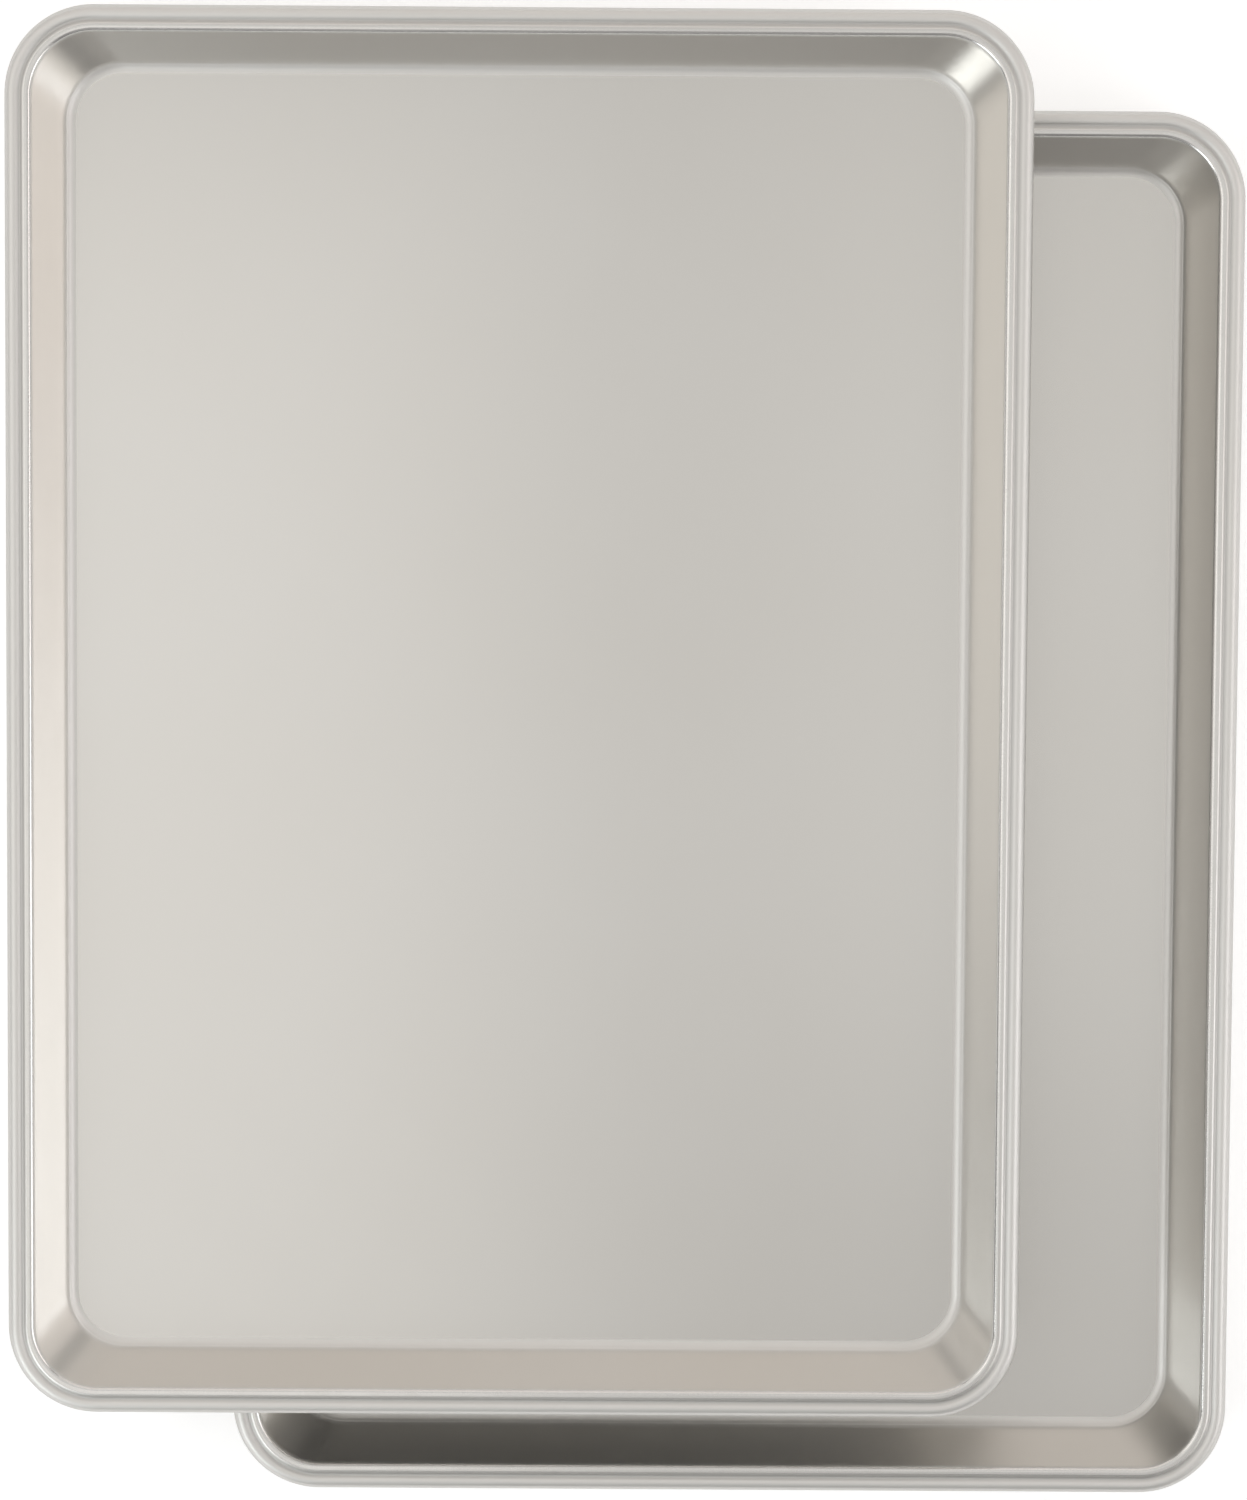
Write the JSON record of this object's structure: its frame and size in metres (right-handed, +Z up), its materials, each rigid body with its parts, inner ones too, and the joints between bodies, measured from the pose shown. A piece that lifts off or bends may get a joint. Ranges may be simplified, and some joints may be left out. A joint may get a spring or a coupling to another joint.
{
  "type": "jelly roll pan set",
  "caption": "Shallow rectangular baking pans with sloped walls, rounded corners and a curled rim round a steel wire, one resting askew across another, for sheet cakes and cookies.",
  "frame": {"origin": "centre of the lower pan's base, on the surface that it stands on", "axes": "+X along the pans' short side, +Y along their long side, +Z up out of the trays"},
  "size_m": [0.399, 0.4845, 0.0511],
  "materials": {
    "pan_aluminium": "satin natural aluminium",
    "wire_steel": "drawn galvanised steel wire"
  },
  "bodies": {
    "lower_pan": {"lower_pan_sheet": "pan_aluminium", "lower_pan_rim_wire": "wire_steel"},
    "upper_pan": {"upper_pan_sheet": "pan_aluminium", "upper_pan_rim_wire": "wire_steel"}
  },
  "joints": [
    {"name": "upper_pan_lift", "type": "slide", "parent": "lower_pan", "child": "upper_pan", "axis": [0, 0, 1], "range_m": [0, 0.1]}
  ]
}
